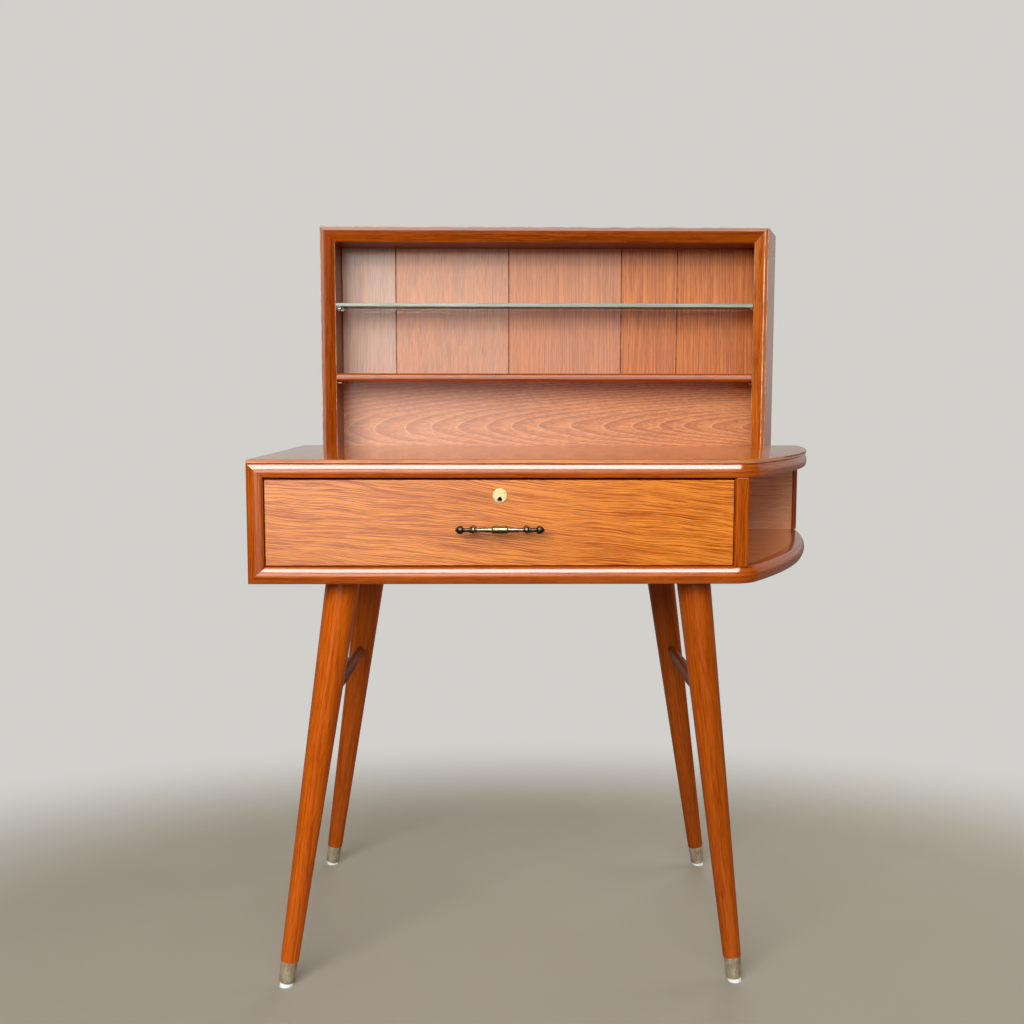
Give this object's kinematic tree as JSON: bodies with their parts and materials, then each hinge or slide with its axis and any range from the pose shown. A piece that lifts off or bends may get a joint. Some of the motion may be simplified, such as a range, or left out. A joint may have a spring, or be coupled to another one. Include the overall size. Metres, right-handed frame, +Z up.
{
  "type": "secretary desk",
  "caption": "Teak writing desk with a wide lockable drawer, an open shelf with a curved end, splayed round legs joined by turned stretchers, and a low hutch with glass and wood shelves.",
  "frame": {"origin": "middle of the footprint, pull included, on the floor", "axes": "+Z up; -Y is the drawer's side, where a person sits; +X is the end with the open curved shelf"},
  "size_m": [0.88, 0.5088, 1.129],
  "materials": {
    "teak": "polished, oiled and varnished teak",
    "pale_timber": "plain sawn secondary timber",
    "ferrule_brass": "aged brass",
    "glide_nylon": "white nylon",
    "pull_bronze": "antique bronze",
    "lock_brass": "polished brass",
    "steel": "plain steel",
    "shelf_glass": "clear float glass with a green edge"
  },
  "bodies": {
    "desk": {"back_left_ferrule": "ferrule_brass", "back_left_glide": "glide_nylon", "back_left_leg": "teak", "back_right_ferrule": "ferrule_brass", "back_right_glide": "glide_nylon", "back_right_leg": "teak", "bay_back_panel": "teak", "bay_end_post": "teak", "bottom_board": "teak", "bottom_edge_moulding": "teak", "case_back_panel": "pale_timber", "divider_lipping": "teak", "divider_panel": "teak", "drawer_kickers": "pale_timber", "drawer_runners": "pale_timber", "front_left_ferrule": "ferrule_brass", "front_left_glide": "glide_nylon", "front_left_leg": "teak", "front_right_ferrule": "ferrule_brass", "front_right_glide": "glide_nylon", "front_right_leg": "teak", "glass_shelf": "shelf_glass", "glass_shelf_pins": "steel", "hutch_back_board_1": "teak", "hutch_back_board_2": "teak", "hutch_back_board_3": "teak", "hutch_back_board_4": "teak", "hutch_back_board_5": "teak", "hutch_left_side": "teak", "hutch_lower_back": "teak", "hutch_right_side": "teak", "hutch_screws": "steel", "hutch_top_board": "teak", "left_front_moulding": "teak", "left_side_panel": "teak", "left_stretcher": "teak", "leg_bolts": "steel", "leg_nuts": "steel", "lock_strike": "lock_brass", "right_stretcher": "teak", "top_board": "teak", "top_edge_moulding": "teak", "top_sheet": "teak", "wood_shelf": "teak", "wood_shelf_pins": "steel"},
    "drawer": {"drawer_front": "teak", "drawer_left_side": "pale_timber", "drawer_right_side": "pale_timber", "drawer_back": "pale_timber", "drawer_bottom": "pale_timber", "pull_bar": "pull_bronze", "pull_posts": "pull_bronze", "pull_screws": "steel", "lock_barrel": "lock_brass", "lock_case": "steel", "lock_screws": "steel"},
    "lock_bolt": {"lock_bolt": "steel"}
  },
  "joints": [
    {"name": "drawer_slide", "type": "slide", "parent": "desk", "child": "drawer", "axis": [0, -1, 0], "range_m": [0, 0.3]},
    {"name": "lock_bolt_slide", "type": "slide", "parent": "drawer", "child": "lock_bolt", "axis": [0, 0, 1], "range_m": [0, 0.007]}
  ]
}
